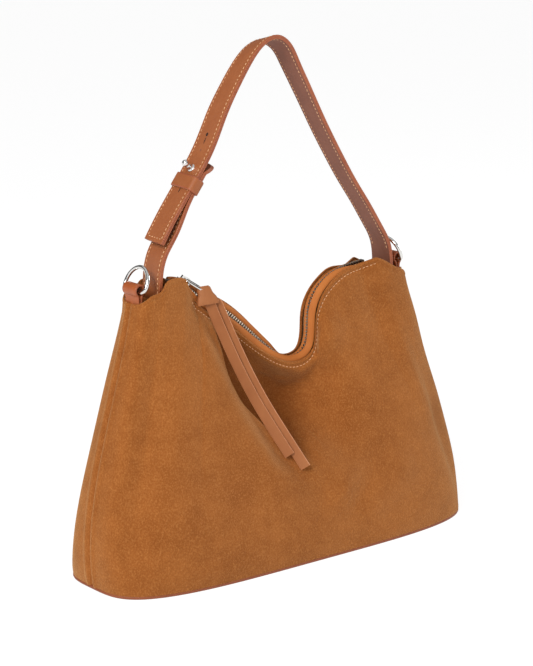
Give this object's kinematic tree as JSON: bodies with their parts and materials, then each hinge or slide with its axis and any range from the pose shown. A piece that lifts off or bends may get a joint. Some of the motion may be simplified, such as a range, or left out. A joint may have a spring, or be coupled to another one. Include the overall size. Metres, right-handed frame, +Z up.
{
  "type": "hobo bag",
  "caption": "Slouchy suede hobo shoulder bag on a leather base, with a curved top zip, knotted lace pull, adjustable leather strap and a ring at each shoulder.",
  "frame": {"origin": "centre of the leather base's underside, where the bag rests", "axes": "+X along the bag towards its right end, +Y from the front panel to the back panel, +Z up"},
  "size_m": [0.3479, 0.1188, 0.3959],
  "materials": {
    "suede": "napped suede, tan",
    "base_leather": "smooth brown leather",
    "board": "stiff fibre board",
    "lining": "plain woven cotton",
    "pocket_leather": "thin smooth leather",
    "facing_leather": "smooth tan leather, slight sheen",
    "zip_tape": "brown woven tape",
    "teeth_metal": "polished zip teeth",
    "chrome": "polished chrome",
    "lace_leather": "matt tan leather lace",
    "strap_leather": "matt tan leather with painted edges",
    "strap_lining": "grey-brown flesh side",
    "tab_leather": "smooth tan leather"
  },
  "bodies": {
    "bag": {"back_panel": "suede", "base_board": "board", "base_panel": "base_leather", "front_panel": "suede", "inner_pocket": "pocket_leather", "lining_back": "lining", "lining_base": "lining", "lining_front": "lining", "ring_tab_left": "tab_leather", "ring_tab_right": "tab_leather", "strap_root_left": "strap_leather", "strap_root_right": "strap_leather", "top_gusset_left": "suede", "top_gusset_right": "suede", "zip_bottom_stop": "teeth_metal", "zip_facing_back": "facing_leather", "zip_facing_front": "facing_leather", "zip_tape_back": "zip_tape", "zip_tape_front": "zip_tape", "zip_teeth_back": "teeth_metal", "zip_teeth_front": "teeth_metal", "zip_top_stop": "teeth_metal"},
    "strap": {"strap_long_leather": "strap_leather", "strap_long_lining": "strap_lining", "strap_short_leather": "strap_leather", "strap_short_lining": "strap_lining", "stud_post": "chrome", "stud_screw": "chrome"},
    "keeper": {"strap_keeper": "strap_leather"},
    "slider": {"zip_slider": "chrome"},
    "pull": {"zip_pull_ring": "chrome"},
    "lace": {"pull_knot": "lace_leather", "pull_tail_front": "lace_leather", "pull_tail_back": "lace_leather"},
    "ring_left": {"d_ring_left": "chrome"},
    "ring_right": {"d_ring_right": "chrome"}
  },
  "joints": [
    {"name": "strap_swing", "type": "hinge", "parent": "bag", "child": "strap", "pos_m": [-0.1135, 0, 0.222], "axis": [0.9989, 0, -0.047], "range_deg": [-35, 35], "stiffness_Nm_per_rad": 0.15},
    {"name": "keeper_slide", "type": "slide", "parent": "strap", "child": "keeper", "axis": [0.6043, 0, 0.7968], "range_m": [-0.012, 0.001]},
    {"name": "slider_travel", "type": "slide", "parent": "bag", "child": "slider", "axis": [0.7832, 0, -0.6218], "range_m": [-0.001, 0.012], "deforming": ["zip_teeth_front", "zip_teeth_back", "zip_tape_front", "zip_tape_back"]},
    {"name": "pull_swing", "type": "hinge", "parent": "slider", "child": "pull", "pos_m": [-0.0851, -0.0008, 0.2211], "axis": [-0.4109, -0.9066, -0.0961], "range_deg": [0, 55]},
    {"name": "lace_hang", "type": "hinge", "parent": "pull", "child": "lace", "pos_m": [-0.0726, -0.0056, 0.2122], "axis": [-0.4109, -0.9066, -0.0961], "range_deg": [-55, 0]},
    {"name": "ring_left_swivel", "type": "hinge", "parent": "bag", "child": "ring_left", "pos_m": [-0.1304, 0, 0.2186], "axis": [0, 1, 0], "range_deg": [-120, 15]},
    {"name": "ring_right_swivel", "type": "hinge", "parent": "bag", "child": "ring_right", "pos_m": [0.119, 0, 0.2108], "axis": [0, 1, 0], "range_deg": [-3, 120]}
  ],
  "couplings": [
    {"joint": "lace_hang", "follows": "pull_swing", "ratio": -1}
  ]
}
